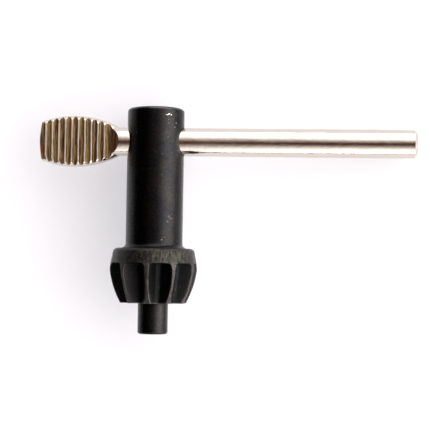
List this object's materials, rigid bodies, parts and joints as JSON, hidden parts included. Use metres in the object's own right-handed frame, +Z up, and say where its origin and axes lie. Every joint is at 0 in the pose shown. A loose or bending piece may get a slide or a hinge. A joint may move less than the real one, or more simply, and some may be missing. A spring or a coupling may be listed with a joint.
{
  "type": "drill chuck key",
  "caption": "T-handle key for a geared drill chuck: round shank, bevel pinion and pilot pin, with an offset handle bar flattened to a serrated thumb pad.",
  "frame": {"origin": "centre of the pilot pin's flat tip face", "axes": "+Y along the key's axis from the pilot tip to the shank's top, +X along the handle bar towards its long end, +Z out of the thumb pad's face; the key lies flat with +Z up"},
  "size_m": [0.0796, 0.0475, 0.0186],
  "materials": {
    "black_oxide": "satin black oxide on turned steel, worn at edges",
    "black_oxide_forged": "grainy black oxide on formed steel",
    "nickel_plate": "bright warm nickel plate, brown tarnish in the pressed serrations"
  },
  "bodies": {
    "root": {"pilot_pin": "black_oxide", "bevel_pinion": "black_oxide_forged", "shank": "black_oxide", "handle_bar": "nickel_plate"}
  },
  "joints": []
}
